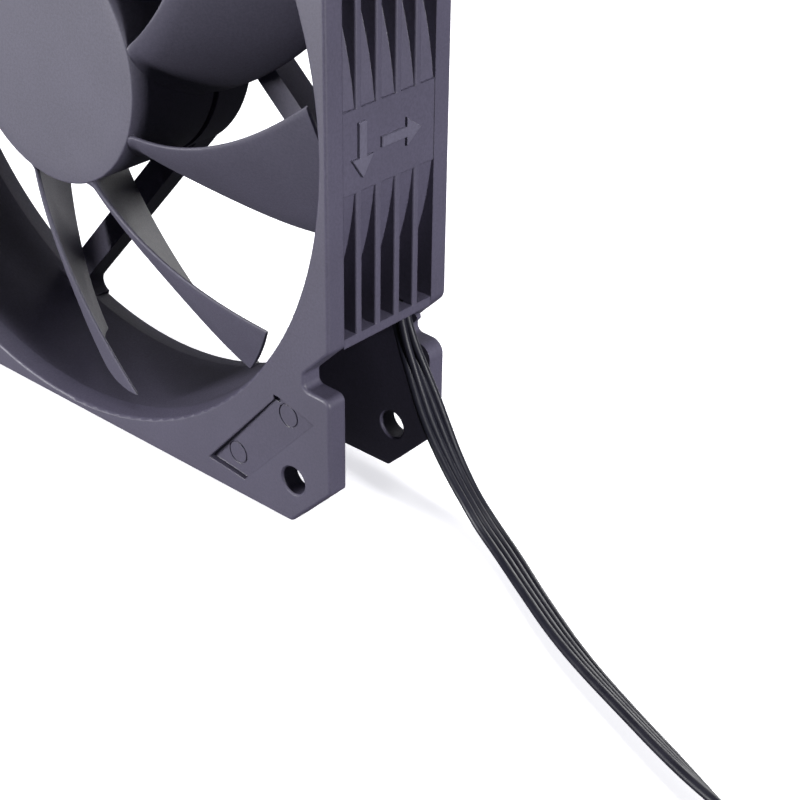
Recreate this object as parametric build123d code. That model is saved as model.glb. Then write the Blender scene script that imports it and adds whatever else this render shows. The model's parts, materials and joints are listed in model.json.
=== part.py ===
from build123d import *
import os
from math import cos, hypot, pi, radians, sin, sqrt, tan

# Case fan, 120 mm square and 25 mm deep, standing on its edge.
# World frame in millimetres: +X to the right and +Z up as seen from the intake side,
# +Y along the air stream, origin at the middle of the bottom edge.
# The fan's own parts are drawn in the fan frame: x right, y up, z towards the viewer
# on the intake side, origin on the fan axis at half depth. place() moves them to the
# world frame. The lead and what is on it are drawn in the world frame.

# ---- overall
SIDE = 120.0
DEPTH = 25.0
HALF = SIDE / 2
FRONT = DEPTH / 2
REAR = -DEPTH / 2
AXIS_HEIGHT = HALF

# ---- housing
DUCT_R = 58.0
DUCT_MOUTH_R = 58.5
DUCT_ROUND = 0.5
BARREL_R = 59.9
FLANGE = 3.3
CORNER_CHAMFER = 8.1
CORNER_ROUND = 1.0
RIM_ROUND = 0.5
HOLE_PITCH = 105.0
HOLE_R = 2.25
HOLE_BREAK = 0.25
PANEL_HALF = 29.0
PANEL_SUNK = 0.1
LIP = 1.5
RIB = 1.2
RIB_ROUND = 0.3
RIB_FIRST = 6.0
RIB_PITCH = 3.93
RIB_COUNT = 4
SLOT_INNER = 6.0
NOTCH_DEPTH = 5.0
NOTCH_FOOT = 36.0
NOTCH_TOP = 33.5
NOTCH_ROUND = 1.0
NOTCH_ROUND_FRONT = 1.2
NOTCH_ROUND_REAR = 2.2
POCKET_OUTLINE = [(34.2, -56.0), (42.0, -56.8), (56.8, -41.2), (49.6, -39.2)]
POCKET_DEPTH = 1.0
POCKET_END_DEPTH = 0.35
POCKET_NICK = (49.4, -39.7)
POCKET_NICK_SIZE = 1.0
POCKET_NICK_DEPTH = 1.3
PIN_MARKS = [(51.5, -41.9), (40.0, -53.2)]
PIN_MARK_R = 1.95
PIN_MARK_WIDTH = 0.2
PIN_MARK_DEPTH = 0.15
FINGER_SPOT = (56.5, -32.7)
FINGER_TURN = 48.0
FINGER_LENGTH = 4.4
FINGER_WIDTH = 1.1
FINGER_HEIGHT = 0.9

# ---- motor base and struts
BASE_R = 20.5
BASE_RIM = 1.5
BASE_PLATE = 1.7
BASE_TOP = -6.2
BOSS_R = 6.5
STRUT_COUNT = 4
STRUT_WIDTH = 4.4
STRUT_HEIGHT = 4.5
STRUT_OFFSET = 17.8
STRUT_FOOT_ANGLE = -41.8
STRUT_FILLET = 2.0
LEAD_STRUT = 1
CHANNEL_WIDTH = 2.8
CHANNEL_DEPTH = 2.8

# ---- impeller
HUB_R = 20.3
HUB_FRONT = 11.2
HUB_REAR = -5.5
HUB_ROUND = 0.2
HUB_WALL = 1.5
HUB_FACE = 1.4
HUB_BOSS_R = 4.0
HUB_BOSS_REAR = 6.6
BLADE_COUNT = 9
BLADE_ROOT_R = 20.2
BLADE_SPAN = 35.2
BLADE_TIP_FRONT_R = 55.4
BLADE_TIP_REAR_R = 56.3
BLADE_THICK = 1.05
BLADE_EDGE = 0.5
BLADE_FRONT = 10.7
BLADE_REAR = -3.5
# Leading and trailing edge angles: at the root, change over the span, bow.
LEAD_LAW = (-23.4, 30.0, 8.6, 0.0)
TRAIL_LAW = (-54.0, 34.6, 22.0, -17.6)
# Weight of the camber line's middle point: at the root, and its change over the span.
ANGLE_WEIGHT = (0.40, 0.47)
DEPTH_WEIGHT = (0.11, 0.43)

# ---- motor
SHAFT_R = 1.5
SHAFT_FRONT = HUB_FRONT - HUB_FACE
SHAFT_REAR = -9.7
YOKE_R = HUB_R - HUB_WALL
YOKE_WALL = 0.7
YOKE_REAR = -5.0
MAGNET_WALL = 2.0
MAGNET_FRONT = 7.0
MAGNET_REAR = -4.6
TUBE_R = 4.6
TUBE_BORE_R = 3.5
TUBE_FRONT = 5.6
SLEEVE_BORE_R = 1.53
SLEEVE_FRONT = 4.6
SLEEVE_REAR = -8.4
SEAL_THICK = 0.6
CLIP_FRONT = -8.75
CLIP_THICK = 0.35
CLIP_GROOVE_R = 1.2
CLIP_R = 2.6
PAD_FRONT = -10.0
PAD_THICK = 0.6
CORE_FRONT = 3.5
CORE_REAR = -1.5
POLE_R = 15.3
POLE_INNER_R = 13.4
POLE_HALF_ANGLE = 36.0
ARM_WIDTH = 4.4
CORE_HUB_R = 6.6
INSULATOR = 0.8
INSULATOR_WALL = 2.2
COIL_INNER = 6.6
COIL_OUTER = 12.4
COIL_HALF = 4.9
COIL_BUILD = 1.9
BOARD_R = 18.0
BOARD_FRONT = -5.6
BOARD_THICK = 1.0
LABEL_R = 17.8
LABEL_THICK = 0.15
LABEL_SUNK = 0.3
TERMINAL_R = 10.6
TERMINAL_PIN_R = 0.35
TERMINAL_TOP = CORE_REAR - INSULATOR
TERMINAL_END = -7.4
TERMINAL_COUNT = 3

# ---- lead: four wires side by side, laid as a flat ribbon
WIRE_D = 1.3
WIRES = 4
RIBBON_WIDTH = WIRE_D * WIRES
LEAD_TUBE_D = 2.6
INNER_LEAD_D = 2.2
EXIT = (56.3, 6.2, 31.0)
ROUTE = [
    EXIT,
    (57.3, 6.3, 27.0),
    (60.6, 5.7, 21.6),
    (65.6, 4.6, 14.4),
    (70.6, 3.9, 8.2),
    (76.2, 3.0, 3.6),
    (83.2, 0.2, 2.1),
    (91.5, -4.7, 2.1),
    (104.0, -11.6, 2.2),
    (119.5, -17.9, 2.4),
    (137.0, -24.6, 2.7),
    (151.0, -27.5, 3.0),
    (162.0, -27.3, 3.0),
]

# ---- hank: an oval coil of the spare lead, the ribbon standing on its edge
HANK_LEFT = 162.0
HANK_RIGHT = 196.0
HANK_MIDDLE_Y = -8.0
HANK_OUTER_R = 19.3
HANK_PITCH = 2.1
HANK_TURNS = 2
HANK_FLOOR = 0.4
TIE_WIDTH = 4.0
TIE_THICK = 0.4
TIE_X = 180.0

# ---- far end of the lead and its plug
PLUG_REAR_X = 197.5
PLUG_LENGTH = 11.4
PLUG_WIDTH = 10.1
PLUG_BODY = 5.0
PLUG_KEY = 0.8
PIN_PITCH = 2.54
CAVITY = 1.7
CAVITY_DEPTH = 9.5
CONTACT = 1.2
TAIL_ROUTE = [
    (162.0, -23.1, 3.0),
    (171.0, -22.9, 3.0),
    (179.0, -19.6, 3.0),
    (185.0, -13.8, 2.9),
    (190.5, -9.5, 2.7),
    (PLUG_REAR_X, -8.0, 2.5),
]

BOTTOM_UP = (Align.CENTER, Align.CENTER, Align.MIN)


def place(shape):
    """Fan frame to world frame."""
    return Pos(0, 0, AXIS_HEIGHT) * Rot(90, 0, 0) * shape


def disc(radius, rear, front, bore=0.0):
    """Cylinder or ring on the fan axis between two depths."""
    height = front - rear
    solid = Pos(0, 0, rear) * Cylinder(radius, height, align=BOTTOM_UP)
    if bore:
        solid = solid - Pos(0, 0, rear - 1) * Cylinder(bore, height + 2, align=BOTTOM_UP)
    return solid


def block(low, high):
    """Box between two corners."""
    size = [b - a for a, b in zip(low, high)]
    middle = [(a + b) / 2 for a, b in zip(low, high)]
    return Pos(*middle) * Box(*size)


def prism(points, rear, front):
    """Straight prism of a polygon in the fan's face plane."""
    face = Plane.XY.offset(rear) * make_face(Polyline(*points, close=True))
    return extrude(face, front - rear)


def turned(shape, count):
    """Copies of a shape turned evenly about the fan axis."""
    return [Rot(0, 0, 360 / count * k) * shape for k in range(count)]


# ---------------------------------------------------------------- housing

def flange(notch_round):
    """One flange, outer face up: a square with cut corners and a notch beside each corner."""
    plate = prism(square_points(), 0, FLANGE)
    notch = prism(notch_points(), -1, FLANGE + 1)
    for cut in turned(notch, 2) + turned(mirror(notch, Plane.XZ), 2):
        plate -= cut
    plate = fillet(upright_edges(plate, HALF, HALF - CORNER_CHAMFER - 1), notch_round)
    plate = fillet(upright_edges(plate, HALF - NOTCH_DEPTH, HALF), NOTCH_ROUND)
    corners = [e for e in plate.edges().filter_by(Axis.Z) if abs(e.center().Y) > 50]
    plate = fillet(corners, CORNER_ROUND)
    return fillet(plate.faces().sort_by(Axis.Z)[-1].edges(), RIM_ROUND)


def upright_edges(shape, x, reach):
    """Edges along the fan axis at this distance left and right of it, up to a height."""
    edges = shape.edges().filter_by(Axis.Z)
    return [e for e in edges if abs(abs(e.center().X) - x) < 0.01 and abs(e.center().Y) < reach]


def square_points():
    a, c = HALF, HALF - CORNER_CHAMFER
    return [(a, -c), (a, c), (c, a), (-c, a), (-a, c), (-a, -c), (-c, -a), (c, -a)]


def notch_points():
    """Step in the right edge, between the lower corner and the panel."""
    inner = HALF - NOTCH_DEPTH
    over = HALF + 1
    return [
        (over, -NOTCH_FOOT - 0.2),
        (inner, -NOTCH_FOOT),
        (inner, -NOTCH_TOP),
        (over, -NOTCH_TOP + NOTCH_DEPTH + 1),
    ]


def side_panel():
    """Flat panel on the right side, with ribbed recesses above and below its middle."""
    inner = FRONT - FLANGE
    panel = block((40, -PANEL_HALF, -inner), (HALF - PANEL_SUNK, PANEL_HALF, inner))
    edges = [FRONT - FLANGE + 0.06]
    for k in range(RIB_COUNT):
        middle = RIB_FIRST - RIB_PITCH * k
        edges += [middle + RIB / 2, middle - RIB / 2]
    edges.append(-edges[0])
    for high, low in zip(edges[0::2], edges[1::2]):
        slot = block((40, -PANEL_HALF + LIP, low), (HALF + 1, -SLOT_INNER, high))
        panel -= slot
        panel -= mirror(slot, Plane.XZ)
    return fillet(rib_edges(panel), RIB_ROUND)


def rib_edges(panel):
    """Long outer edges of the ribs."""
    outer = panel.edges().filter_by(Axis.Y).filter_by(lambda e: e.center().X > HALF - 1)
    return [e for e in outer if e.length < PANEL_HALF and abs(e.center().Z) < FRONT - FLANGE - 1]


def strut_frame(k):
    """Direction of strut k's foot and of its run out to the barrel."""
    foot = radians(STRUT_FOOT_ANGLE + 360 / STRUT_COUNT * k)
    run = foot - pi / 2
    return (cos(foot), sin(foot)), (cos(run), sin(run))


def strut_point(k, offset, along):
    """Point beside strut k's centreline, along its run."""
    foot, run = strut_frame(k)
    x = foot[0] * (STRUT_OFFSET + offset) + run[0] * along
    y = foot[1] * (STRUT_OFFSET + offset) + run[1] * along
    return (x, y)


def strut(k):
    """Tangential strut from the motor base to the barrel, rounded into the duct wall."""
    reach = sqrt(BARREL_R ** 2 - STRUT_OFFSET ** 2) - 1.2
    half = STRUT_WIDTH / 2
    top = REAR + STRUT_HEIGHT
    points = [strut_point(k, s * half, t) for s, t in ((-1, 3), (1, 3), (1, reach), (-1, reach))]
    body = prism(points, REAR, top)
    for side in (-1, 1):
        face = Plane.XY.offset(REAR) * strut_fillet(k, side)
        body += extrude(face, STRUT_HEIGHT)
    return body


def strut_fillet(k, side):
    """Face that fills the corner between one side of a strut and the duct wall."""
    r = STRUT_FILLET
    edge = side * STRUT_WIDTH / 2
    line = STRUT_OFFSET + edge
    reach = sqrt(DUCT_R ** 2 - line ** 2)
    along = sqrt((DUCT_R - r) ** 2 - (line + side * r) ** 2)
    centre = Vector(*strut_point(k, edge + side * r, along))
    on_wall = centre * (DUCT_R / centre.length)
    on_strut = Vector(*strut_point(k, edge, along))
    corner = Vector(*strut_point(k, edge, reach))
    middle = centre + (corner - centre).normalized() * r
    into_wall = on_wall * ((DUCT_R + 1) / DUCT_R)
    behind = Vector(*strut_point(k, edge - side, reach))
    return make_face([
        ThreePointArc(on_strut, middle, on_wall),
        Polyline(on_wall, into_wall, behind, on_strut),
    ])


def lead_channel():
    """Groove for the inner lead along the back of one strut."""
    half = CHANNEL_WIDTH / 2
    end = sqrt(DUCT_R ** 2 - STRUT_OFFSET ** 2) - 3.5
    spans = ((-1, 1.0), (1, 1.0), (1, end), (-1, end))
    points = [strut_point(LEAD_STRUT, s * half, t) for s, t in spans]
    return prism(points, REAR - 1, REAR + CHANNEL_DEPTH)


def corner_pocket():
    """Pocket across the lower right corner of the intake face, shallower at its upper end."""
    low, over = POCKET_OUTLINE[0], FRONT + 1
    run = Vector(*POCKET_OUTLINE[3]) - Vector(*low)
    along = run.normalized()
    side = Plane(origin=Vector(*low), x_dir=along, z_dir=along.cross(Vector(0, 0, 1)))
    slope = [
        (-run.length / 2, over),
        (-run.length / 2, floor_depth(-0.5)),
        (run.length * 1.5, floor_depth(1.5)),
        (run.length * 1.5, over),
    ]
    wedge = extrude(side * make_face(Polyline(*slope, close=True)), HALF / 2, both=True)
    pocket = prism(POCKET_OUTLINE, FRONT - 2 * POCKET_DEPTH, over) & wedge
    x, y = POCKET_NICK
    half = POCKET_NICK_SIZE / 2
    pocket += block((x - half, y - half, FRONT - POCKET_NICK_DEPTH), (x + half, y + half, over))
    for mark in PIN_MARKS:
        pocket += pin_mark(mark)
    return pocket


def floor_depth(part):
    """Height of the pocket's floor at a fraction of its length."""
    return FRONT - POCKET_DEPTH - (POCKET_END_DEPTH - POCKET_DEPTH) * part


def pin_mark(spot):
    """Fine ring that an ejector pin leaves in the pocket's floor."""
    low, run = Vector(*POCKET_OUTLINE[0]), Vector(*POCKET_OUTLINE[3]) - Vector(*POCKET_OUTLINE[0])
    part = (Vector(*spot) - low).dot(run) / run.length ** 2
    bottom = floor_depth(part) - PIN_MARK_DEPTH
    groove = disc(PIN_MARK_R, bottom, FRONT, PIN_MARK_R - PIN_MARK_WIDTH)
    return Pos(*spot, 0) * groove


def screw_hole(depth):
    """Screw hole through one flange, both mouths broken."""
    span = FLANGE + 0.02
    hole = Cylinder(HOLE_R, span)
    mouth = Cone(HOLE_R, HOLE_R + HOLE_BREAK, HOLE_BREAK, align=BOTTOM_UP)
    hole += Pos(0, 0, FLANGE / 2 - HOLE_BREAK) * mouth
    hole += Rot(180, 0, 0) * Pos(0, 0, FLANGE / 2 - HOLE_BREAK) * mouth
    return Pos(HOLE_PITCH / 2, HOLE_PITCH / 2, depth) * hole


def motor_base():
    """Cup behind the hub that carries the bearing tube and the circuit board."""
    base = disc(BASE_R, REAR, BASE_TOP)
    base -= disc(BASE_R - BASE_RIM, REAR + BASE_PLATE, BASE_TOP + 1)
    return base + disc(BOSS_R, REAR + BASE_PLATE, BOARD_FRONT - BOARD_THICK)


def exit_cuts():
    """Holes for the lead through the barrel and through the lower lip of the panel."""
    start = Vector(*lead_points()[2])
    end = Vector(*lead_points()[3])
    run = (end - start).normalized()
    path = Line(start - run * 1.0, end + run * 0.6)
    bore = sweep(Plane(origin=path @ 0, z_dir=path % 0) * Circle(INNER_LEAD_D / 2 + 0.2), path=path)
    x, y, z = EXIT
    notch = block((x - 1.9, y - 1.25, z - 0.5), (x + 1.9, y + 1.35, z + LIP + 0.2))
    return bore, notch


def duct():
    """The air way: straight in the middle, flared and rounded at both mouths."""
    inner = FRONT - FLANGE
    over = FRONT + 1
    face = DUCT_MOUTH_R + DUCT_ROUND
    bend = DUCT_ROUND * (1 - cos(pi / 4))
    lines = [
        Line((0, -over), (0, over)),
        Line((DUCT_R, -inner), (DUCT_R, inner)),
    ]
    for side in (-1, 1):
        lines += [
            Polyline((0, side * over), (face, side * over), (face, side * FRONT)),
            ThreePointArc((face, side * FRONT), (DUCT_MOUTH_R + bend, side * (FRONT - bend)),
                          (DUCT_MOUTH_R, side * (FRONT - DUCT_ROUND))),
            Line((DUCT_MOUTH_R, side * (FRONT - DUCT_ROUND)), (DUCT_R, side * inner)),
        ]
    return revolve(Plane.XZ * make_face(lines), Axis.Z)


def lead_finger():
    """Small rounded finger on the rear flange that keeps the lead back from the edge."""
    slot = Rot(0, 0, FINGER_TURN) * SlotOverall(FINGER_LENGTH, FINGER_WIDTH)
    return extrude(Pos(*FINGER_SPOT, FLANGE - FRONT) * slot, FINGER_HEIGHT)


def housing():
    """Barrel, flanges, side panels, struts and motor base in one moulding."""
    inner = FRONT - FLANGE
    body = disc(BARREL_R, -inner - 0.5, inner + 0.5)
    body += Pos(0, 0, inner) * flange(NOTCH_ROUND_FRONT)
    body += Rot(180, 0, 0) * Pos(0, 0, inner) * flange(NOTCH_ROUND_REAR)
    core = disc(BARREL_R, -FRONT, FRONT)
    for panel in turned(side_panel(), 4):
        body += panel - core
    body -= duct()
    for k in range(STRUT_COUNT):
        body += strut(k)
    body += motor_base()
    body -= disc(TUBE_R, REAR - 1, BASE_TOP + 1)
    body -= disc(LABEL_R + 0.2, REAR - 1, REAR + LABEL_SUNK)
    body -= lead_channel()
    for pocket in turned(corner_pocket(), 4):
        body -= pocket
    for depth in (FRONT - FLANGE / 2, FLANGE / 2 - FRONT):
        for hole in turned(screw_hole(depth), 4):
            body -= hole
    body = place(body + lead_finger())
    for cut in exit_cuts():
        body -= cut
    return body


# ---------------------------------------------------------------- impeller

def edge_angles(radius):
    """Angles in degrees of a blade's leading and trailing edge at a radius."""
    u = (radius - BLADE_ROOT_R) / BLADE_SPAN
    return [
        root + rise * u + u * (1 - u) * (bow + skew * u)
        for root, rise, bow, skew in (LEAD_LAW, TRAIL_LAW)
    ]


def camber_point(radius, t):
    """Angle and depth on the camber line at fraction t from the leading edge."""
    u = (radius - BLADE_ROOT_R) / BLADE_SPAN
    lead, trail = edge_angles(radius)
    fall = BLADE_REAR - BLADE_FRONT
    weight_a, weight_b = 2 * t * (1 - t), t * t
    pull = ANGLE_WEIGHT[0] + ANGLE_WEIGHT[1] * u
    drop = DEPTH_WEIGHT[0] + DEPTH_WEIGHT[1] * u
    angle = lead + (trail - lead) * (pull * weight_a + weight_b)
    depth = BLADE_FRONT + fall * (drop * weight_a + weight_b)
    return angle, depth


def planar_camber(distance, mid_angle, t):
    """Camber point where the section plane at this distance cuts the blade."""
    radius = distance
    for _ in range(12):
        angle, depth = camber_point(radius, t)
        radius = distance / cos(radians(angle - mid_angle))
    return distance * tan(radians(angle - mid_angle)), depth


def blade_section(distance):
    """Closed profile of the blade in the plane square to its own radius."""
    mid_angle = camber_point(distance, 0.5)[0]
    spots = [k / 8 for k in range(9)]
    line = [planar_camber(distance, mid_angle, t) for t in spots]
    upper, lower = [], []
    for k, t in enumerate(spots):
        a, b = line[max(k - 1, 0)], line[min(k + 1, 8)]
        length = hypot(b[0] - a[0], b[1] - a[1])
        nx, ny = -(b[1] - a[1]) / length, (b[0] - a[0]) / length
        bulge = 4 * t * (1 - t)
        half = (BLADE_EDGE + (BLADE_THICK - BLADE_EDGE) * sqrt(bulge)) / 2
        upper.append((line[k][0] + nx * half, line[k][1] + ny * half))
        lower.append((line[k][0] - nx * half, line[k][1] - ny * half))
    lower.reverse()
    m = radians(mid_angle)
    normal = (cos(m), sin(m), 0)
    plane = Plane(origin=Vector(*normal) * distance, x_dir=(-sin(m), cos(m), 0), z_dir=normal)
    outline = [
        Spline(*upper),
        Line(upper[-1], lower[0]),
        Spline(*lower),
        Line(lower[-1], upper[0]),
    ]
    return plane * make_face(outline)


def blade():
    """One blade, long enough at both ends to be trimmed to the hub and to the tip."""
    first, last = HUB_R - 2.6, BLADE_TIP_REAR_R + 1.6
    count = 7
    stations = [first + (last - first) * k / (count - 1) for k in range(count)]
    body = loft([blade_section(d) for d in stations])
    return body & blade_envelope()


def blade_envelope():
    """Cone that the blade tips run in, a little wider at the rear."""
    slope = (BLADE_TIP_REAR_R - BLADE_TIP_FRONT_R) / (BLADE_FRONT - BLADE_REAR)
    rear = BLADE_TIP_REAR_R + slope * (BLADE_REAR - REAR)
    front = BLADE_TIP_FRONT_R - slope * (FRONT - BLADE_FRONT)
    return Pos(0, 0, REAR) * Cone(rear, front, DEPTH, align=BOTTOM_UP)


def hub():
    """Disc with a flat face and a rounded rim, before it is hollowed out."""
    cup = disc(HUB_R, HUB_REAR, HUB_FRONT)
    front = cup.faces().sort_by(Axis.Z)[-1]
    return fillet(front.edges(), HUB_ROUND)


def impeller():
    body = hub()
    for wing in turned(blade(), BLADE_COUNT):
        body += wing
    body -= disc(YOKE_R, REAR, HUB_FRONT - HUB_FACE)
    body += disc(HUB_BOSS_R, HUB_BOSS_REAR, HUB_FRONT - HUB_FACE)
    body -= disc(SHAFT_R, REAR, SHAFT_FRONT)
    return place(body)


# ---------------------------------------------------------------- rotor

def rotor_yoke():
    front = HUB_FRONT - HUB_FACE
    cup = disc(YOKE_R, YOKE_REAR, front)
    cup -= disc(YOKE_R - YOKE_WALL, YOKE_REAR - 1, front - YOKE_WALL)
    return place(cup - disc(HUB_BOSS_R, YOKE_REAR, front + 1))


def magnet_ring():
    outer = YOKE_R - YOKE_WALL
    return place(disc(outer, MAGNET_REAR, MAGNET_FRONT, outer - MAGNET_WALL))


def shaft():
    rod = disc(SHAFT_R, SHAFT_REAR, SHAFT_FRONT)
    groove = disc(SHAFT_R + 1, CLIP_FRONT - CLIP_THICK, CLIP_FRONT, CLIP_GROOVE_R)
    return place(rod - groove)


def retaining_clip():
    """Split washer in the shaft's groove, behind the sleeve."""
    ring = disc(CLIP_R, CLIP_FRONT - CLIP_THICK, CLIP_FRONT, CLIP_GROOVE_R)
    gap = block((0, -0.5, CLIP_FRONT - 1), (CLIP_R + 1, 0.5, CLIP_FRONT + 1))
    return place(ring - gap)


# ---------------------------------------------------------------- bearing

def bearing_tube():
    return place(disc(TUBE_R, REAR + LABEL_SUNK, TUBE_FRONT, TUBE_BORE_R))


def sleeve_bearing():
    return place(disc(TUBE_BORE_R, SLEEVE_REAR, SLEEVE_FRONT, SLEEVE_BORE_R))


def oil_seal():
    return place(disc(TUBE_BORE_R, SLEEVE_FRONT, SLEEVE_FRONT + SEAL_THICK, SHAFT_R + 0.4))


def thrust_pad():
    return place(disc(TUBE_BORE_R, PAD_FRONT - PAD_THICK, PAD_FRONT))


def bearing_cap():
    return place(disc(TUBE_BORE_R, REAR + LABEL_SUNK, PAD_FRONT - PAD_THICK))


# ---------------------------------------------------------------- stator

def pole_shape(rear, front, tip_radius):
    """Hub, four arms and four curved pole faces."""
    shape = disc(CORE_HUB_R, rear, front)
    ring = disc(tip_radius, rear, front, POLE_INNER_R)
    arm = block((0, -ARM_WIDTH / 2, rear), (POLE_INNER_R + 0.6, ARM_WIDTH / 2, front))
    a = radians(POLE_HALF_ANGLE)
    reach = 2 * tip_radius
    wedge = prism([(0, 0), (reach * cos(a), -reach * sin(a)), (reach * cos(a), reach * sin(a))],
                  rear, front)
    for piece in turned(arm + (ring & wedge), 4):
        shape += piece
    return shape - disc(TUBE_R, rear - 1, front + 1)


def stator_core():
    return place(pole_shape(CORE_REAR, CORE_FRONT, POLE_R))


def insulator(front_side):
    """Bobbin half: a thin copy of the core's outline with walls that hold the coils in."""
    if front_side:
        rear, front = CORE_FRONT, CORE_FRONT + INSULATOR
        wall = (front, front + INSULATOR_WALL)
    else:
        rear, front = CORE_REAR - INSULATOR, CORE_REAR
        wall = (rear - INSULATOR_WALL, rear)
    plate = pole_shape(rear, front, POLE_INNER_R + 1.2)
    ring = disc(POLE_INNER_R + 0.8, wall[0], wall[1], POLE_INNER_R)
    keep = block((0, -6, wall[0]), (20, 6, wall[1]))
    for piece in turned(ring & keep, 4):
        plate += piece
    return place(plate)


def winding(k):
    """Coil on arm k, round-cornered outside and open along the arm."""
    rear = CORE_REAR - INSULATOR
    front = CORE_FRONT + INSULATOR
    low = (COIL_INNER, -COIL_HALF, rear - COIL_BUILD)
    high = (COIL_OUTER, COIL_HALF, front + COIL_BUILD)
    coil = block(low, high)
    coil = fillet(coil.edges().filter_by(Axis.X), 1.4)
    half = ARM_WIDTH / 2
    coil -= block((COIL_INNER - 1, -half, rear), (COIL_OUTER + 1, half, front))
    return place(Rot(0, 0, 90 * k) * coil)


# ---------------------------------------------------------------- electronics

def terminal_shape():
    pin = Pos(TERMINAL_R, 0, TERMINAL_END)
    pin *= Cylinder(TERMINAL_PIN_R, TERMINAL_TOP - TERMINAL_END, align=BOTTOM_UP)
    return [Rot(0, 0, 45 + 90 * k) * pin for k in range(TERMINAL_COUNT)]


def terminal_pins():
    """Three posts between the rear bobbin half and the board."""
    tab = disc(TERMINAL_R + 0.8, TERMINAL_TOP - 0.6, TERMINAL_TOP, TERMINAL_R - 0.8)
    tab &= block((0, -0.8, -20), (20, 0.8, 20))
    feet = [Rot(0, 0, 45 + 90 * k) * tab for k in range(TERMINAL_COUNT)]
    return place(Compound([(a + b).solid() for a, b in zip(terminal_shape(), feet)]))


def circuit_board():
    rear = BOARD_FRONT - BOARD_THICK
    board = disc(BOARD_R, rear, BOARD_FRONT, TUBE_R)
    for pin in terminal_shape():
        board -= pin
    return place(board)


def driver_chip():
    rear = BOARD_FRONT - BOARD_THICK
    body = block((-13.5, -7.5, rear - 1.4), (-8.5, -2.5, rear - 0.25))
    for k in range(3):
        y = -6.6 + 1.4 * k
        leg = block((-14.6, y, rear - 0.7), (-7.4, y + 0.4, rear))
        body += leg
    return place(body)


def hall_sensor():
    return place(block((-3.0, -16.4, BOARD_FRONT), (1.0, -14.0, BOARD_FRONT + 0.65)))


def capacitor():
    rear = BOARD_FRONT - BOARD_THICK
    can = Pos(-2.5, 11.5, rear - 2.6) * Cylinder(2.6, 2.6, align=BOTTOM_UP)
    return place(can)


def rear_label():
    front = REAR + LABEL_SUNK
    return place(disc(LABEL_R, front - LABEL_THICK, front))


# ---------------------------------------------------------------- inner lead and exit

def lead_points():
    """World points of the inner lead: board, strut, barrel wall, panel lip."""
    deep = REAR + INNER_LEAD_D / 2 + 0.35
    start = strut_point(LEAD_STRUT, 0, 3.2)
    turn = strut_point(LEAD_STRUT, 0, 49.0)
    board = BOARD_FRONT - BOARD_THICK
    x, y, z = EXIT
    return [
        (start[0], -board, start[1] + AXIS_HEIGHT),
        (start[0], -deep, start[1] + AXIS_HEIGHT),
        (turn[0], -deep, turn[1] + AXIS_HEIGHT),
        (x - 1.2, y, z + 4.2),
        (x, y, z + 1.0),
    ]


def tube(points, diameter, radii):
    """Round tube along straight runs joined by tangent arcs."""
    path = FilletPolyline(*points, radius=radii)
    section = Plane(origin=path @ 0, z_dir=path % 0) * Circle(diameter / 2)
    solid = sweep(section, path=path)
    expected = path.length * pi * diameter ** 2 / 4
    print("tube length %.1f volume %.1f of %.1f" % (path.length, solid.volume, expected))
    return solid


def corner_radii(points):
    """Largest even arcs: 0.45 of the shorter run over the tangent of half the turn."""
    spots = [Vector(*p) for p in points]
    radii = []
    for a, b, c in zip(spots, spots[1:], spots[2:]):
        turn = (b - a).get_angle(c - b)
        shorter = min((b - a).length, (c - b).length)
        radii.append(0.45 * shorter / tan(radians(turn / 2)))
    print("radii", [round(r, 1) for r in radii])
    return radii


def inner_lead():
    points = lead_points()
    return tube(points, INNER_LEAD_D, [2.4, 6.0, 2.6])


def strain_relief():
    """Grommet in the panel's lower lip, round the lead."""
    x, y, z = EXIT
    body = block((x - 1.9, y - 1.25, z), (x + 1.9, y + 1.35, z + LIP))
    return body


# ---------------------------------------------------------------- lead, hank and plug

def cable():
    return tube(ROUTE, LEAD_TUBE_D, corner_radii(ROUTE))


def cable_end():
    return tube(TAIL_ROUTE, LEAD_TUBE_D, corner_radii(TAIL_ROUTE))


def oval(radius, low, high):
    """Upright prism over an oval of this end radius."""
    length = HANK_RIGHT - HANK_LEFT
    middle = (HANK_LEFT + HANK_RIGHT) / 2
    shape = SlotOverall(length + 2 * radius, 2 * radius)
    face = Plane(origin=(middle, HANK_MIDDLE_Y, low)) * shape
    return extrude(face, high - low)


def hank_band():
    """Radii of the inside and the outside of the coiled strands."""
    outer = HANK_OUTER_R + WIRE_D / 2 + 0.15
    inner = HANK_OUTER_R - HANK_PITCH * HANK_TURNS - WIRE_D / 2 - 0.15
    return inner, outer


def cable_hank():
    inner, outer = hank_band()
    top = HANK_FLOOR + RIBBON_WIDTH
    return oval(outer, HANK_FLOOR, top) - oval(inner, HANK_FLOOR - 1, top + 1)


def hank_tie():
    """Band round the strands on the near side of the hank."""
    inner, outer = hank_band()
    low_y, high_y = HANK_MIDDLE_Y - outer, HANK_MIDDLE_Y - inner
    top = HANK_FLOOR + RIBBON_WIDTH
    x0, x1 = TIE_X - TIE_WIDTH / 2, TIE_X + TIE_WIDTH / 2
    band = block((x0, low_y - TIE_THICK, HANK_FLOOR - TIE_THICK),
                 (x1, high_y + TIE_THICK, top + TIE_THICK))
    return band - block((x0 - 1, low_y, HANK_FLOOR), (x1 + 1, high_y, top))


def pin_offsets():
    return [PIN_PITCH * (k - (WIRES - 1) / 2) for k in range(WIRES)]


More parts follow.
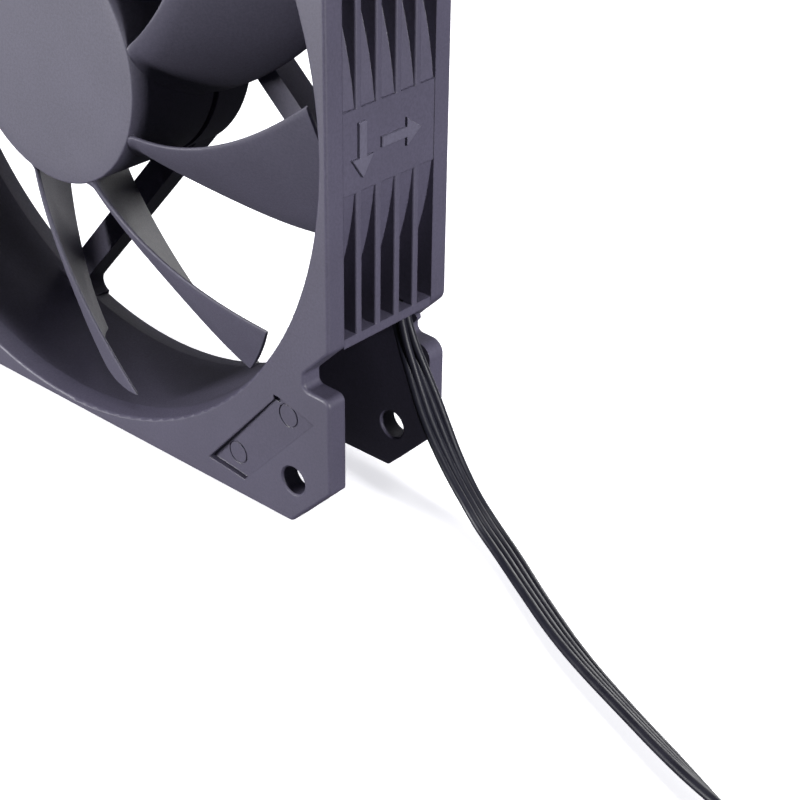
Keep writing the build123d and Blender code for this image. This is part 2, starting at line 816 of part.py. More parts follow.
def plug_housing():
    """Four-way housing, its row of cavities open at the far end, two keys on top."""
    x0, x1 = PLUG_REAR_X, PLUG_REAR_X + PLUG_LENGTH
    y0 = HANK_MIDDLE_Y
    body = block((x0, y0 - PLUG_WIDTH / 2, 0), (x1, y0 + PLUG_WIDTH / 2, PLUG_BODY))
    body = chamfer(body.edges().filter_by(Axis.X), 0.3)
    for side in (-1.9, 1.9):
        key = block((x0 + 2.0, y0 + side - 0.5, PLUG_BODY - 0.1),
                    (x1, y0 + side + 0.5, PLUG_BODY + PLUG_KEY))
        body += key
    for dy in pin_offsets():
        y = y0 + dy
        z = PLUG_BODY / 2
        h = CAVITY / 2
        body -= block((x1 - CAVITY_DEPTH, y - h, z - h), (x1 + 1, y + h, z + h))
        body -= Pos(x0, y, z) * Rot(0, 90, 0) * Cylinder(WIRE_D / 2 + 0.1, 6)
    return body


def plug_contacts():
    """Four crimped sockets, one in the bottom of each cavity."""
    x1 = PLUG_REAR_X + PLUG_LENGTH
    floor = PLUG_BODY / 2 - CAVITY / 2
    solids = []
    for dy in pin_offsets():
        y = HANK_MIDDLE_Y + dy
        body = block((x1 - CAVITY_DEPTH + 0.6, y - CONTACT / 2, floor),
                     (x1 - 0.7, y + CONTACT / 2, floor + CONTACT))
        mouth = block((x1 - 4, y - 0.35, floor + 0.25), (x1, y + 0.35, floor + 0.95))
        solids.append((body - mouth).solid())
    return Compound(solids)


PARTS = {
    "frame": housing,
    "impeller": impeller,
    "rotor_yoke": rotor_yoke,
    "magnet_ring": magnet_ring,
    "shaft": shaft,
    "retaining_clip": retaining_clip,
    "bearing_tube": bearing_tube,
    "sleeve_bearing": sleeve_bearing,
    "oil_seal": oil_seal,
    "thrust_pad": thrust_pad,
    "bearing_cap": bearing_cap,
    "stator_core": stator_core,
    "front_insulator": lambda: insulator(True),
    "rear_insulator": lambda: insulator(False),
    "terminal_pins": terminal_pins,
    "circuit_board": circuit_board,
    "driver_chip": driver_chip,
    "hall_sensor": hall_sensor,
    "capacitor": capacitor,
    "rear_label": rear_label,
    "inner_lead": inner_lead,
    "strain_relief": strain_relief,
    "cable": cable,
    "cable_hank": cable_hank,
    "cable_end": cable_end,
    "hank_tie": hank_tie,
    "plug_housing": plug_housing,
    "plug_contacts": plug_contacts,
}
for number in range(4):
    PARTS["winding_%d" % (number + 1)] = lambda k=number: winding(k)

os.makedirs("parts", exist_ok=True)
for name, make in PARTS.items():
    export_step(make(), "parts/%s.step" % name)
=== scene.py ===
import json
import math

import bmesh
import bpy
from mathutils import Matrix, Vector


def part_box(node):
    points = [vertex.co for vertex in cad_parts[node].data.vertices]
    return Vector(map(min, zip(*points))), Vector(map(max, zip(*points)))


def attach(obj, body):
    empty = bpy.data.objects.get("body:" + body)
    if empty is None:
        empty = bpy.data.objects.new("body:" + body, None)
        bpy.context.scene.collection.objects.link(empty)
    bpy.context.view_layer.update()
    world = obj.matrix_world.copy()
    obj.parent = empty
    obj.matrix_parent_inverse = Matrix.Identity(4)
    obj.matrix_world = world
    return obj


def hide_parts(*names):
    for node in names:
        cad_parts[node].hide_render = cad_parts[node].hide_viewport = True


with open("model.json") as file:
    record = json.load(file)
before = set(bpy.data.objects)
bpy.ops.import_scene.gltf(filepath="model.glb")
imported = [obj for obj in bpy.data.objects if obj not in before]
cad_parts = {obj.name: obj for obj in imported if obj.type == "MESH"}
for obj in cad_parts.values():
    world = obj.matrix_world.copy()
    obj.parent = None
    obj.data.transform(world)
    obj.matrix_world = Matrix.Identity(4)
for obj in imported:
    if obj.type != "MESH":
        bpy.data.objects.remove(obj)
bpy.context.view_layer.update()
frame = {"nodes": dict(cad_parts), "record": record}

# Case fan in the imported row's frame, in metres: +X right and +Z up seen from the intake
# side, +Y along the air stream, the fan axis level at half the frame's height.
MM = 0.001

frame_low, frame_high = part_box("frame")
AXIS_Z = (frame_low.z + frame_high.z) / 2
HALF_SIDE = (frame_high.x - frame_low.x) / 2


# ------------------------------------------------------------------ camera and light

# Camera that fits the photo's straight edges: place in metres, angles in degrees.
CAMERA_PLACE = (0.2135, -0.1710, 0.1542)
CAMERA_ANGLES = (41.48, 30.48, 0.596)
CAMERA_SENSOR, CAMERA_LENS = 36.0, 81.95
CAMERA_NEAR, CAMERA_FAR = 0.01, 20.0

SKY_COLOUR, SKY_STRENGTH = (0.93, 0.94, 1.0, 1.0), 0.055
LIGHT_TARGET = (0.0, 0.0, 0.06)


def look_matrix(azimuth, elevation, roll):
    """Camera orientation: azimuth 0 looks along +Y, elevation above the horizon."""
    a, e, r = (math.radians(x) for x in (azimuth, elevation, roll))
    back = Vector((math.sin(a) * math.cos(e), -math.cos(a) * math.cos(e), math.sin(e)))
    right = Vector((0, 0, 1)).cross(back).normalized()
    up = back.cross(right)
    side = right * math.cos(r) + up * math.sin(r)
    top = up * math.cos(r) - right * math.sin(r)
    return Matrix((side, top, back)).transposed().to_4x4()


def make_camera():
    data = bpy.data.cameras.new("camera")
    data.sensor_width = CAMERA_SENSOR
    data.lens = CAMERA_LENS
    data.clip_start = CAMERA_NEAR
    data.clip_end = CAMERA_FAR
    camera = bpy.data.objects.new("camera", data)
    camera.matrix_world = Matrix.Translation(CAMERA_PLACE) @ look_matrix(*CAMERA_ANGLES)
    bpy.context.scene.collection.objects.link(camera)
    bpy.context.scene.camera = camera


def area_light(name, place, size, power, tall=None):
    """Soft light facing the fan: a disc, or an upright panel where tall is given."""
    data = bpy.data.lights.new(name, "AREA")
    data.shape = "RECTANGLE" if tall else "DISK"
    data.size = size
    data.size_y = tall or size
    data.energy = power
    light = bpy.data.objects.new(name, data)
    light.location = place
    aim = Vector(LIGHT_TARGET) - Vector(place)
    light.rotation_euler = aim.to_track_quat("-Z", "Y").to_euler()
    light.visible_camera = False
    bpy.context.scene.collection.objects.link(light)


def make_lights():
    """Weak even surroundings, a low key from the left front, a panel on the right, two fills."""
    world = bpy.data.worlds.new("studio")
    world.use_nodes = True
    sky = world.node_tree.nodes["Background"]
    sky.inputs["Color"].default_value = SKY_COLOUR
    sky.inputs["Strength"].default_value = SKY_STRENGTH
    bpy.context.scene.world = world
    bpy.context.scene.view_settings.view_transform = "Standard"
    area_light("key", place=(-0.62, -1.02, 0.11), size=0.6, power=33.0)
    area_light("side", place=(1.05, -0.06, 0.34), size=0.14, power=16.0, tall=0.6)
    area_light("back", place=(-0.25, 1.10, 0.10), size=0.9, power=7.0)
    area_light("top", place=(0.05, 0.0, 1.3), size=0.4, power=8.0)


# ------------------------------------------------------------------ mesh helpers

def add_object(name, mesh):
    piece = bpy.data.objects.new(name, mesh)
    bpy.context.scene.collection.objects.link(piece)
    return piece


def mesh_object(name, verts, faces, sharp=35.0):
    """Mesh piece with outward faces, smooth except across edges sharper than an angle."""
    mesh = bpy.data.meshes.new(name)
    mesh.from_pydata([tuple(v) for v in verts], [], faces)
    mesh.validate()
    bm = bmesh.new()
    bm.from_mesh(mesh)
    bmesh.ops.recalc_face_normals(bm, faces=bm.faces)
    bm.to_mesh(mesh)
    bm.free()
    mesh.polygons.foreach_set("use_smooth", [True] * len(mesh.polygons))
    mesh.set_sharp_from_angle(angle=math.radians(sharp))
    mesh.update()
    return add_object(name, mesh)


def dress(piece, body, slot, *nodes, finish=None):
    """Material, body and replaced nodes of a new piece."""
    piece.data.materials.append(materials[finish or slot])
    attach(piece, body)
    if nodes:
        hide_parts(*nodes)


def grid_faces(rows, columns, base=0, closed=False):
    """Quads of a grid of vertices laid row by row; closed joins the last column to the first."""
    faces = []
    for i in range(rows - 1):
        for j in range(columns if closed else columns - 1):
            a = base + i * columns + j
            b = base + i * columns + (j + 1) % columns
            faces.append((a, b, b + columns, a + columns))
    return faces


def rounded_loop(half_a, half_b, radius, steps):
    """Closed rectangle with round corners, as points (a, b)."""
    loop = []
    for k, (sa, sb) in enumerate(((1, 1), (-1, 1), (-1, -1), (1, -1))):
        for j in range(steps + 1):
            angle = math.pi / 2 * (k + j / steps)
            loop.append((sa * (half_a - radius) + radius * math.cos(angle),
                         sb * (half_b - radius) + radius * math.sin(angle)))
    return loop


def fan_to_world(x, y, depth):
    """Fan frame in millimetres (x right, y up, depth towards the intake) to the row frame."""
    return Vector((x * MM, -depth * MM, y * MM + AXIS_Z))


# ------------------------------------------------------------------ the lead

WIRE_D = 1.3 * MM
WIRE_COUNT = 4
WIRE_SIDES = 14
WIRE_PACKING = 0.97

# Along the lead, in metres: where the bundle opens into the ribbon, and over what length;
# how far before the plug the wires fan out to its pins, and over what length.
OPEN_START, OPEN_LENGTH = 0.002, 0.017
FAN_BACK, FAN_LENGTH = 0.012, 0.010
PIN_PITCH = 2.54 * MM

# Tilt of the ribbon in degrees, at places along the lead from the frame and, in the
# second list, at places measured back from the plug.
TILT_KEYS = [
    (0.0, 0.0), (0.014, -4.0), (0.034, -22.0), (0.055, -30.0), (0.085, -40.0), (0.126, -90.0),
]
PLUG_TILT_KEYS = [(0.036, -90.0), (0.006, 0.0), (0.0, 0.0)]

# Control points of the centreline in millimetres: to the hank, and from it to the plug.
ROUTE = [
    (56.3, 6.2, 31.0),
    (57.3, 6.3, 27.0),
    (60.6, 5.7, 21.6),
    (65.6, 4.6, 14.4),
    (70.6, 3.9, 8.2),
    (76.2, 3.0, 3.6),
    (83.2, 0.2, 2.1),
    (91.5, -4.7, 2.1),
    (104.0, -11.6, 2.2),
    (119.5, -17.9, 2.4),
    (137.0, -24.6, 2.7),
    (151.0, -27.5, 3.0),
]
TAIL_ROUTE = [
    (162.0, -23.1, 3.0),
    (171.0, -22.9, 3.0),
    (179.0, -19.6, 3.0),
    (185.0, -13.8, 2.9),
    (190.5, -9.5, 2.7),
    (197.5, -8.0, 2.5),
]
HANK_LEFT, HANK_RIGHT, HANK_Y, HANK_Z = 162.0, 196.0, -8.0, 3.0
HANK_OUTER_R, HANK_PITCH, HANK_TURNS = 19.3, 2.1, 2

# Each half turn of the hank is a straight of three points and an arc of six. The gaps are
# shares of the straight's length; the turns say how far the spiral has come at each point.
STRAIGHT_STEPS, STRAIGHT_FIRST, STRAIGHT_GAP, STRAIGHT_TURN = 3, 0.1, 0.4, 0.03
ARC_STEPS, ARC_FIRST_TURN, ARC_TURN = 6, 0.12, 0.06


def hank_points():
    """Control points of the oval coil, spiralling inwards, in millimetres."""
    half = 90.0 / ARC_STEPS
    points = []
    for turn in range(HANK_TURNS):
        for side, centre, start in ((0, HANK_RIGHT, -90.0), (1, HANK_LEFT, 90.0)):
            other = HANK_LEFT if side == 0 else HANK_RIGHT
            for k in range(STRAIGHT_STEPS):
                done = turn + side / 2 + STRAIGHT_TURN * k
                radius = HANK_OUTER_R - HANK_PITCH * done
                x = other + (centre - other) * (STRAIGHT_FIRST + STRAIGHT_GAP * k)
                y = HANK_Y + radius * (-1 if side == 0 else 1)
                points.append((x, y, HANK_Z))
            for k in range(ARC_STEPS):
                done = turn + side / 2 + ARC_FIRST_TURN + ARC_TURN * k
                radius = (HANK_OUTER_R - HANK_PITCH * done) / math.cos(math.radians(half))
                angle = math.radians(start + half * (2 * k + 1))
                x = centre + radius * math.cos(angle)
                y = HANK_Y + radius * math.sin(angle)
                points.append((x, y, HANK_Z))
    return points


def lead_curve():
    """The lead's centreline: one open NURBS spline from the frame to the plug."""
    points = ROUTE + hank_points() + TAIL_ROUTE
    data = bpy.data.curves.new("lead_line", "CURVE")
    data.dimensions = "3D"
    spline = data.splines.new("NURBS")
    spline.points.add(len(points) - 1)
    for spot, (x, y, z) in zip(spline.points, points):
        spot.co = (x * MM, y * MM, z * MM, 1.0)
    spline.order_u = 3
    spline.use_endpoint_u = True
    spline.resolution_u = 10
    return data


def curve_points(data):
    """Points along an unbevelled curve, as Blender evaluates it."""
    holder = bpy.data.objects.new("lead_line", data)
    bpy.context.scene.collection.objects.link(holder)
    bpy.context.view_layer.update()
    line = bpy.data.meshes.new_from_object(holder)
    points = [v.co.copy() for v in line.vertices]
    bpy.data.objects.remove(holder)
    bpy.data.meshes.remove(line)
    return points


def smooth_step(t):
    """Eased from nought to one as t goes from nought to one."""
    t = min(max(t, 0.0), 1.0)
    return t * t * (3 - 2 * t)


def keyed(keys, s):
    """Value at s of a curve given by (position, value) keys, eased between them."""
    if s <= keys[0][0]:
        return keys[0][1]
    for (a, va), (b, vb) in zip(keys, keys[1:]):
        if s <= b:
            return va + (vb - va) * smooth_step((s - a) / (b - a))
    return keys[-1][1]


def ribbon_frames(points):
    """Place along the lead, point, tangent, width and thickness directions; and its length."""
    lengths = [0.0]
    for a, b in zip(points, points[1:]):
        lengths.append(lengths[-1] + (b - a).length)
    total = lengths[-1]
    tilt_keys = TILT_KEYS + [(total - back, tilt) for back, tilt in PLUG_TILT_KEYS]
    frames = []
    for k, here in enumerate(points):
        ahead = points[min(k + 1, len(points) - 1)]
        behind = points[max(k - 1, 0)]
        along = (ahead - behind).normalized()
        level = Vector((0, 0, 1)).cross(along).normalized()
        tilt = math.radians(keyed(tilt_keys, lengths[k]))
        wide = Matrix.Rotation(tilt, 3, along) @ level
        frames.append((lengths[k], here, along, wide, along.cross(wide)))
    return frames, total


def wire_offset(k, s, total):
    """Place of wire k across the ribbon: bundled at the frame, fanned into the plug."""
    from_middle = k - (WIRE_COUNT - 1) / 2
    flat = from_middle * WIRE_D * WIRE_PACKING
    pin = from_middle * PIN_PITCH
    bundle_x = (0.5 if k > 1 else -0.5) * WIRE_D
    bundle_y = (0.5 if k % 2 else -0.5) * WIRE_D
    open_out = smooth_step((s - OPEN_START) / OPEN_LENGTH)
    fan = smooth_step((s - total + FAN_BACK) / FAN_LENGTH)
    across = bundle_x + (flat - bundle_x) * open_out + (pin - flat) * fan
    return across, bundle_y * (1 - open_out)


def build_lead(tie):
    """Four wires moulded side by side, each swept along the lead's centreline."""
    points = curve_points(lead_curve())
    frames, total = ribbon_frames(points)
    verts, faces = [], []
    for wire in range(WIRE_COUNT):
        base = len(verts)
        for s, here, along, wide, thick in frames:
            across, out = wire_offset(wire, s, total)
            centre = here + wide * across + thick * out
            for j in range(WIRE_SIDES):
                angle = 2 * math.pi * j / WIRE_SIDES
                ring = wide * math.cos(angle) + thick * math.sin(angle)
                verts.append(centre + ring * (WIRE_D / 2))
        faces += grid_faces(len(frames), WIRE_SIDES, base, closed=True)
        last = base + (len(frames) - 1) * WIRE_SIDES
        faces.append(tuple(base + j for j in range(WIRE_SIDES)))
        faces.append(tuple(last + j for j in reversed(range(WIRE_SIDES))))
    lead = mesh_object("lead_ribbon", verts, faces)
    dress(lead, "root", "wire", "cable", "cable_hank", "cable_end")


# ------------------------------------------------------------------ twist tie

TIE_HALF_WIDTH = 1.7 * MM
TIE_HALF_THICK = 0.11 * MM
TIE_CORE_R = 0.36 * MM
TIE_BEND = 1.0 * MM
TIE_TAIL_LENGTH = 9.0 * MM
TIE_TAIL_INSET = 1.2 * MM
TIE_TAIL_STEPS = 40
TIE_TAIL_LEAN = (0.35, 0.30, 0.85)
TIE_BEND_STEPS = 6

# Turns of the tails round each other, the share of their length that is twisted, how far
# apart they run there in core radii, and how fast they part beyond it.
TIE_TWISTS, TIE_TWISTED, TIE_GAP, TIE_SPLAY = 2.5, 0.7, 1.1, 9.0 * MM


def tie_section():
    """Outline across the tie: thin plastic wings with a round wire core in the middle."""
    w, h, r = TIE_HALF_WIDTH, TIE_HALF_THICK, TIE_CORE_R
    arc = [math.radians(a) for a in (155, 125, 90, 55, 25)]
    top = [(-w, 0.6 * h), (-w + h, h)] + [(r * math.cos(a), r * math.sin(a)) for a in arc]
    top += [(w - h, h), (w, 0.6 * h)]
    return top + [(x, -y) for x, y in reversed(top)]


def tie_strip(spots, verts, faces):
    """Adds the tie's section swept along spots of (place, across, outward)."""
    section = tie_section()
    base, count = len(verts), len(section)
    for place, across, outward in spots:
        verts += [place + across * x + outward * y for x, y in section]
    faces += grid_faces(len(spots), count, base, closed=True)
    last = base + (len(spots) - 1) * count
    half = count // 2
    for end in (base, last):
        for k in range(half - 1):
            faces.append((end + k, end + k + 1, end + count - 2 - k, end + count - 1 - k))


def tie_wrap(low, high):
    """Spots from the front end of the bundle's top, down and under it, to the rear end."""
    middle = (low + high) / 2
    half_y = (high.y - low.y) / 2 - TIE_CORE_R
    half_z = (high.z - low.z) / 2 - TIE_CORE_R
    loop = rounded_loop(half_y, half_z, TIE_BEND, TIE_BEND_STEPS)
    start = len(loop) // 4
    spots = []
    for a, b in loop[start:] + loop[:start]:
        outward = Vector((0, a / half_y, b / half_z)).normalized()
        place = Vector((middle.x, middle.y + a, middle.z + b))
        spots.append((place, Vector((1, 0, 0)), outward))
    return spots


def tie_tail(low, high, side):
    """Spots of one loose end, twisted round the other and leaning in over the hank."""
    foot = Vector(((low.x + high.x) / 2, low.y + TIE_TAIL_INSET, high.z - TIE_CORE_R))
    lean = Vector(TIE_TAIL_LEAN).normalized()
    first = lean.cross(Vector((1, 0, 0))).normalized()
    second = lean.cross(first)
    spots = []
    for k in range(TIE_TAIL_STEPS + 1):
        t = k / TIE_TAIL_STEPS
        turn = 2 * math.pi * TIE_TWISTS * min(t / TIE_TWISTED, 1.0) + (math.pi if side else 0.0)
        around = first * math.cos(turn) + second * math.sin(turn)
        spread = TIE_CORE_R * TIE_GAP + max(t - TIE_TWISTED, 0.0) * TIE_SPLAY
        place = foot + lean * TIE_TAIL_LENGTH * t + around * spread
        spots.append((place, lean.cross(around), around))
    return spots


def build_tie():
    """Plastic-covered wire round the strands of the hank, its two ends twisted together."""
    low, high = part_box("hank_tie")
    verts, faces = [], []
    tie_strip(tie_wrap(low, high), verts, faces)
    for side in (0, 1):
        tie_strip(tie_tail(low, high, side), verts, faces)
    tie = mesh_object("twist_tie", verts, faces, sharp=50)
    dress(tie, "root", "tie", "hank_tie")
    return tie


# ------------------------------------------------------------------ impeller

# Lengths in millimetres in the fan frame, as in the CAD; angles in degrees.
HUB_R = 20.3
HUB_FRONT = 11.2
HUB_REAR = -5.5
HUB_INNER_R = 18.8
HUB_INSIDE = 9.8
BOSS_R = 4.0
BOSS_REAR = 6.6
SHAFT_R = 1.5
HUB_ROUND, HUB_ROUND_STEPS = 0.3, 6
HUB_FACE_INSET = 3.0
HUB_SEGMENTS = 144
EDGE_BREAK, BOSS_FILLET = 0.2, 0.3
BLADE_COUNT = 9
BLADE_ROOT_R = 20.2
BLADE_SPAN = 35.2
TIP_FRONT_R, TIP_REAR_R = 55.4, 56.3
BLADE_FRONT, BLADE_REAR = 10.7, -3.5
BLADE_THICK, BLADE_EDGE = 1.0, 0.42
ROOT_FLARE, ROOT_REACH, FLARE_LIMIT = 0.6, 1.3, 1.2

# The blade's edges against the span: angle at the root, rise to the tip, bow, skewed bow.
LEAD_LAW = (-23.4, 30.0, 8.6, 0.0)
TRAIL_LAW = (-54.0, 34.6, 22.0, -17.6)

# Pull of the camber line's middle on angle and depth: at the root, and added to the tip.
ANGLE_WEIGHT = (0.40, 0.47)
DEPTH_WEIGHT = (0.11, 0.43)

# Stations along the span as shares of it, steps along the chord, the chord's length that
# the rounding of the edges is measured by, and the last station's share of the thickness.
ROOT_STATIONS = [-0.02, 0.0, 0.008, 0.018, 0.03, 0.045, 0.06]
MIDDLE_SPAN, MIDDLE_STEPS = 0.93, 26
TIP_STATIONS = [0.996, 1.0]
CHORD_STEPS, CHORD_LENGTH = 30, 14.0
TIP_SHRINK = 0.45


def camber_point(radius, t):
    """Angle in radians and depth on the blade's camber line at a radius."""
    u = (radius - BLADE_ROOT_R) / BLADE_SPAN
    lead, trail = [
        root + rise * u + u * (1 - u) * (bow + skew * u)
        for root, rise, bow, skew in (LEAD_LAW, TRAIL_LAW)
    ]
    a, b = 2 * t * (1 - t), t * t
    pull = ANGLE_WEIGHT[0] + ANGLE_WEIGHT[1] * u
    drop = DEPTH_WEIGHT[0] + DEPTH_WEIGHT[1] * u
    angle = lead + (trail - lead) * (pull * a + b)
    depth = BLADE_FRONT + (BLADE_REAR - BLADE_FRONT) * (drop * a + b)
    return math.radians(angle), depth


def camber_place(radius, t):
    """The camber line's point in the row frame."""
    angle, depth = camber_point(radius, t)
    return fan_to_world(radius * math.cos(angle), radius * math.sin(angle), depth)


def camber_normal(radius, t):
    """Square to the camber surface, towards the pressure side."""
    step = 0.01
    low, high = max(t - step, 0.0), min(t + step, 1.0)
    chord = camber_place(radius, high) - camber_place(radius, low)
    span = camber_place(radius + 0.1, t) - camber_place(radius - 0.1, t)
    return chord.cross(span).normalized()


def half_thickness(radius, t):
    """Half the blade's thickness: rounded edges, fuller middle, flared into the hub."""
    near_edge = min(t, 1 - t) * CHORD_LENGTH
    lip = BLADE_EDGE / 2
    if near_edge < lip:
        lip *= math.sqrt(max(1 - (1 - near_edge / lip) ** 2, 0.0))
    fullness = math.sqrt(4 * t * (1 - t))
    body = (BLADE_THICK - BLADE_EDGE) / 2 * fullness
    flare = min(max(1 - (radius - HUB_R) / ROOT_REACH, 0.0), FLARE_LIMIT)
    return lip + body + ROOT_FLARE * flare ** 2 * fullness


def blade_stations():
    """Fractions of the span, close together at the root and at the tip."""
    start = ROOT_STATIONS[-1]
    middle = [start + MIDDLE_SPAN * k / MIDDLE_STEPS for k in range(1, MIDDLE_STEPS + 1)]
    return ROOT_STATIONS + middle + TIP_STATIONS


def chord_fractions():
    """Fractions of the chord, closer together at both edges."""
    return [(1 - math.cos(math.pi * k / CHORD_STEPS)) / 2 for k in range(CHORD_STEPS + 1)]


def blade_mesh(turn, verts, faces):
    """Adds one closed blade, turned about the fan axis."""
    base = len(verts)
    spots = chord_fractions()
    loop = [(t, 1) for t in spots] + [(t, -1) for t in reversed(spots[1:-1])]
    stations = blade_stations()
    spin = Matrix.Rotation(turn, 4, "Y")
    lift = Matrix.Translation((0, 0, AXIS_Z))
    around = lift @ spin @ lift.inverted()
    for v in stations:
        shrink = TIP_SHRINK if v == TIP_STATIONS[-1] else 1.0
        for t, side in loop:
            tip = TIP_FRONT_R + (TIP_REAR_R - TIP_FRONT_R) * t
            radius = HUB_R + (tip - HUB_R) * v
            offset = side * half_thickness(radius, t) * shrink
            place = camber_place(radius, t) + camber_normal(radius, t) * offset * MM
            verts.append(around @ place)
    columns = len(loop)
    faces += grid_faces(len(stations), columns, base, closed=True)
    last = base + (len(stations) - 1) * columns
    faces.append(tuple(base + j for j in range(columns)))
    faces.append(tuple(last + j for j in range(columns)))


def hub_profile():
    """Radius and depth of the hub's outline, from the middle of its face to its boss."""
    profile = [(0.0, HUB_FRONT), (HUB_R - HUB_FACE_INSET, HUB_FRONT)]
    for k in range(HUB_ROUND_STEPS + 1):
        angle = math.pi / 2 * k / HUB_ROUND_STEPS
        profile.append((HUB_R - HUB_ROUND * (1 - math.sin(angle)),
                        HUB_FRONT - HUB_ROUND * (1 - math.cos(angle))))
    profile += [
        (HUB_R, HUB_REAR + EDGE_BREAK), (HUB_R - EDGE_BREAK, HUB_REAR),
        (HUB_INNER_R + EDGE_BREAK, HUB_REAR), (HUB_INNER_R, HUB_REAR + EDGE_BREAK),
        (HUB_INNER_R, HUB_INSIDE), (BOSS_R + BOSS_FILLET, HUB_INSIDE),
        (BOSS_R, HUB_INSIDE - BOSS_FILLET), (BOSS_R, BOSS_REAR + EDGE_BREAK),
        (BOSS_R - EDGE_BREAK, BOSS_REAR), (SHAFT_R, BOSS_REAR), (SHAFT_R, HUB_INSIDE),
        (0.0, HUB_INSIDE),
    ]
    return profile


def spun_mesh(profile, segments, verts, faces):
    """Adds a closed solid of revolution about the fan axis; it starts and ends on the axis."""
    start = len(verts)
    verts.append(fan_to_world(0.0, 0.0, profile[0][1]))
    base = len(verts)
    for radius, depth in profile[1:-1]:
        for k in range(segments):
            angle = 2 * math.pi * k / segments
            verts.append(fan_to_world(radius * math.cos(angle), radius * math.sin(angle), depth))
    end = len(verts)
    verts.append(fan_to_world(0.0, 0.0, profile[-1][1]))
    rings = len(profile) - 2
    faces += grid_faces(rings, segments, base, closed=True)
    last = base + (rings - 1) * segments
    for k in range(segments):
        after = (k + 1) % segments
        faces.append((start, base + k, base + after))
        faces.append((end, last + after, last + k))


def build_impeller():
    """Hub and swept blades, as one moulding."""
    verts, faces = [], []
    spun_mesh(hub_profile(), HUB_SEGMENTS, verts, faces)
    for k in range(BLADE_COUNT):
        blade_mesh(2 * math.pi * k / BLADE_COUNT, verts, faces)
    dress(mesh_object("impeller_moulding", verts, faces), "rotor", "impeller_plastic",
          "impeller")


# ------------------------------------------------------------------ windings

WINDING_COUNT = 4
WIRE_TURNS = 15
ENAMEL_R, ENAMEL_SIDES = 0.17 * MM, 8
COIL_ROUND, COIL_ROUND_STEPS = 1.4 * MM, 5


def build_winding(number):
    """Close turns of enamelled wire over the coil's body, on one arm."""
    node = "winding_%d" % number
    low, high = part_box(node)
    middle = (low + high) / 2
    size = high - low
    out_axis = 0 if size.x < size.z else 2
    across_axis = 2 - out_axis
    first, last = low[out_axis] + ENAMEL_R, high[out_axis] - ENAMEL_R
    loop = rounded_loop(size[across_axis] / 2, size.y / 2, COIL_ROUND, COIL_ROUND_STEPS)
    rows = WIRE_TURNS * len(loop) + 1
    verts = []
    for i in range(rows):
        a, b = loop[i % len(loop)]
        before, after = loop[(i - 1) % len(loop)], loop[(i + 1) % len(loop)]
        da, db = after[0] - before[0], after[1] - before[1]
        length = math.hypot(da, db)
        na, nb = db / length, -da / length
        place = first + (last - first) * i / (rows - 1)
        for j in range(ENAMEL_SIDES):
            angle = 2 * math.pi * j / ENAMEL_SIDES
            rise, slide = ENAMEL_R * math.cos(angle), ENAMEL_R * math.sin(angle)
            spot = Vector((0.0, 0.0, 0.0))
            spot[out_axis] = place + slide
            spot[across_axis] = middle[across_axis] + a + na * rise
            spot.y = middle.y + b + nb * rise
            verts.append(spot)
    faces = grid_faces(rows, ENAMEL_SIDES, closed=True)
    faces.append(tuple(range(ENAMEL_SIDES)))
    faces.append(tuple((rows - 1) * ENAMEL_SIDES + j for j in range(ENAMEL_SIDES)))
    turns = mesh_object("winding_turns_%d" % number, verts, faces)
    dress(turns, "root", "copper")


# ------------------------------------------------------------------ marks on the frame

# Levels of a raised plate as shares of its height, with the outline's size at each.
PLATE_LEVELS = ((-0.3, 1.0), (0.7, 1.0), (1.0, 0.965))
ARROW_HEIGHT, ARROW_SUNK = 0.45 * MM, 0.1 * MM
AIR_ARROW_Y, TURN_ARROW_Y = 2.2 * MM, -5.6 * MM


def plate(name, outline, origin, right, up, height):
    """Thin raised plate of an outline drawn in a plane, its upper edge broken."""
    out = right.cross(up)
    count = len(outline)
    middle = Vector((sum(x for x, _ in outline) / count, sum(y for _, y in outline) / count))
    verts = []
    for level, shrink in PLATE_LEVELS:
        for x, y in outline:
            x = middle.x + (x - middle.x) * shrink
            y = middle.y + (y - middle.y) * shrink
            verts.append(origin + (right * x + up * y) * MM + out * (level * height))
    faces = grid_faces(len(PLATE_LEVELS), count, closed=True)
    faces.append(tuple(range(count)))
    faces.append(tuple(len(verts) - count + k for k in range(count)))
    return mesh_object(name, verts, faces)


def arrow_outline(length, width, head, head_width):
    """Plain arrow along +x, centred on its length."""
    tail = -length / 2
    neck = length / 2 - head
    return [
        (tail, -width / 2), (neck, -width / 2), (neck, -head_width / 2), (length / 2, 0.0),
        (neck, head_width / 2), (neck, width / 2), (tail, width / 2),
    ]


def build_arrows():
    """Two plain arrows on the right side: along the air stream, and the way the blades turn."""
    side = Vector((HALF_SIDE - ARROW_SUNK, 0.0, AXIS_Z))
    along, up = Vector((0, 1, 0)), Vector((0, 0, 1))
    shape = arrow_outline(length=8.0, width=1.5, head=3.0, head_width=4.2)
    flow = plate("arrow_air", shape, side + along * AIR_ARROW_Y, along, up, ARROW_HEIGHT)
    turn = plate("arrow_turn", shape, side + along * TURN_ARROW_Y, -up, along, ARROW_HEIGHT)
    # The marks take a lighter copy of the frame plastic: painted highlight on the raised marks.
    for arrow in (flow, turn):
        dress(arrow, "root", "frame_plastic", finish="lit_raised_mark")


# ------------------------------------------------------------------ rear label

# Radii in millimetres and angles in degrees, seen from behind.
PRINT_HEIGHT, PRINT_SUNK = 0.03 * MM, 0.02 * MM
PRINT_RINGS = ((16.2, 16.5, 96), (5.4, 5.7, 64))
RING_END = 359.9
TURN_INNER, TURN_OUTER = 11.2, 12.0
TURN_STARTS, TURN_SWEEP, TURN_STEPS = (20, 140, 260), 62, 20
HEAD_INNER, HEAD_OUTER, HEAD_SWEEP = 10.2, 13.0, 9
HEAD_TIP_OUTER, HEAD_TIP_INNER = 11.62, 11.58


